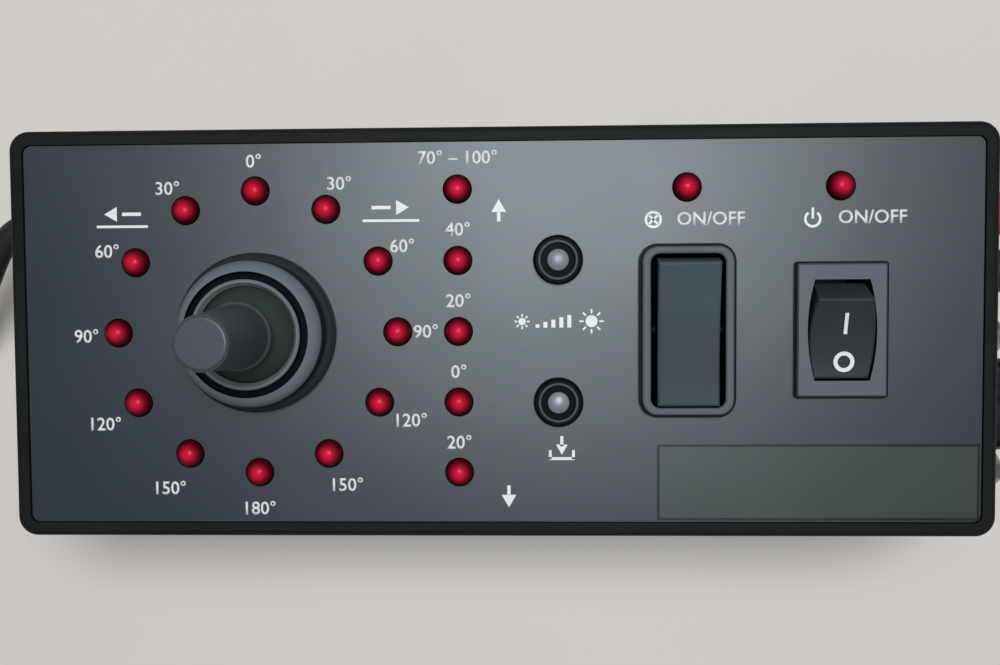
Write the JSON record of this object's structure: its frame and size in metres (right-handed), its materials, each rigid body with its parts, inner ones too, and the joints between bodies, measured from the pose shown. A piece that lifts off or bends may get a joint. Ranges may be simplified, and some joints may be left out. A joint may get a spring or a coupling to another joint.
{
  "type": "pan and tilt hand controller",
  "caption": "Desk control box with a sprung two-axis joystick, rings of red lamps, two push buttons, two rocker switches and a cable.",
  "frame": {"origin": "middle of the rear cover's outer face, which is the face that the box lies on", "axes": "+X along the case towards the sockets, +Y across the face towards the switch lamps, +Z out of the face panel"},
  "size_m": [0.2929, 0.102, 0.0789],
  "materials": {
    "case_plastic": "satin",
    "overlay_film": "satin",
    "plate_film": "satin",
    "black_screw": "satin",
    "steel": "satin",
    "board": "satin",
    "lens_red": "gloss",
    "tinned": "satin",
    "component": "matte",
    "bezel_metal": "satin",
    "nickel": "satin",
    "black_plastic": "satin",
    "dome_plastic": "matte",
    "spring_steel": "satin",
    "red_plastic": "satin",
    "cable_rubber": "matte",
    "gold_pin": "satin"
  },
  "bodies": {
    "case": {"front_shell": "case_plastic", "rear_cover": "case_plastic", "face_overlay": "overlay_film", "name_plate": "plate_film", "cover_screws": "black_screw", "board_screws": "steel", "jack_posts": "steel", "lamp_board": "board", "sensor_board": "board", "pan_lamps": "lens_red", "tilt_lamps": "lens_red", "light_lamp": "lens_red", "power_lamp": "lens_red", "lamp_leads": "tinned", "button_pins": "tinned", "light_switch_tabs": "tinned", "power_switch_tabs": "tinned", "lamp_resistors": "component", "controller_chip": "component", "voltage_regulator": "component", "joystick_bezel": "bezel_metal", "joystick_nut": "nickel", "button_nuts": "nickel", "socket_nuts": "nickel", "data_socket": "nickel", "cable_plug": "nickel", "gland_nut": "nickel", "joystick_base": "black_plastic", "light_switch_body": "black_plastic", "power_switch_body": "black_plastic", "brightness_button_body": "black_plastic", "memory_button_body": "black_plastic", "black_socket": "black_plastic", "data_insert": "black_plastic", "return_spring": "spring_steel", "brightness_spring": "spring_steel", "memory_spring": "spring_steel", "red_socket": "red_plastic", "cable_gland": "cable_rubber", "cable_run": "cable_rubber", "cable_coil": "cable_rubber", "cable_tail": "cable_rubber", "plug_sleeve": "cable_rubber", "plug_pins": "gold_pin"},
    "gimbal": {"gimbal_ring": "black_plastic", "gimbal_pins": "steel"},
    "stick": {"cross_pin": "steel", "stick_shaft": "steel", "stick_dome": "dome_plastic", "stick_knob": "black_plastic", "stick_magnet": "steel"},
    "light_rocker": {"light_rocker": "black_plastic"},
    "power_rocker": {"power_rocker": "black_plastic"},
    "brightness_plunger": {"brightness_plunger": "nickel"},
    "memory_plunger": {"memory_plunger": "nickel"}
  },
  "joints": [
    {"name": "stick_pan", "type": "hinge", "parent": "case", "child": "gimbal", "pos_m": [-0.0428, 0.0003, 0.0465], "axis": [0, 1, 0], "range_deg": [-12, 12], "stiffness_Nm_per_rad": 0.1, "deforming": ["return_spring"]},
    {"name": "stick_tilt", "type": "hinge", "parent": "gimbal", "child": "stick", "pos_m": [-0.0428, 0.0003, 0.0465], "axis": [1, 0, 0], "range_deg": [-12, 12], "stiffness_Nm_per_rad": 0.1, "deforming": ["return_spring"]},
    {"name": "light_rocker_tip", "type": "hinge", "parent": "case", "child": "light_rocker", "pos_m": [0.03305, 0.0003, 0.0424], "axis": [-1, 0, 0], "range_deg": [0, 11]},
    {"name": "power_rocker_tip", "type": "hinge", "parent": "case", "child": "power_rocker", "pos_m": [0.0596, 0.0003, 0.0408], "axis": [-1, 0, 0], "range_deg": [0, 26]},
    {"name": "brightness_press", "type": "slide", "parent": "case", "child": "brightness_plunger", "axis": [0, 0, -1], "range_m": [0, 0.001], "stiffness_N_per_m": 600, "springref_m": -0.0008, "deforming": ["brightness_spring"]},
    {"name": "memory_press", "type": "slide", "parent": "case", "child": "memory_plunger", "axis": [0, 0, -1], "range_m": [0, 0.001], "stiffness_N_per_m": 600, "springref_m": -0.0008, "deforming": ["memory_spring"]}
  ]
}
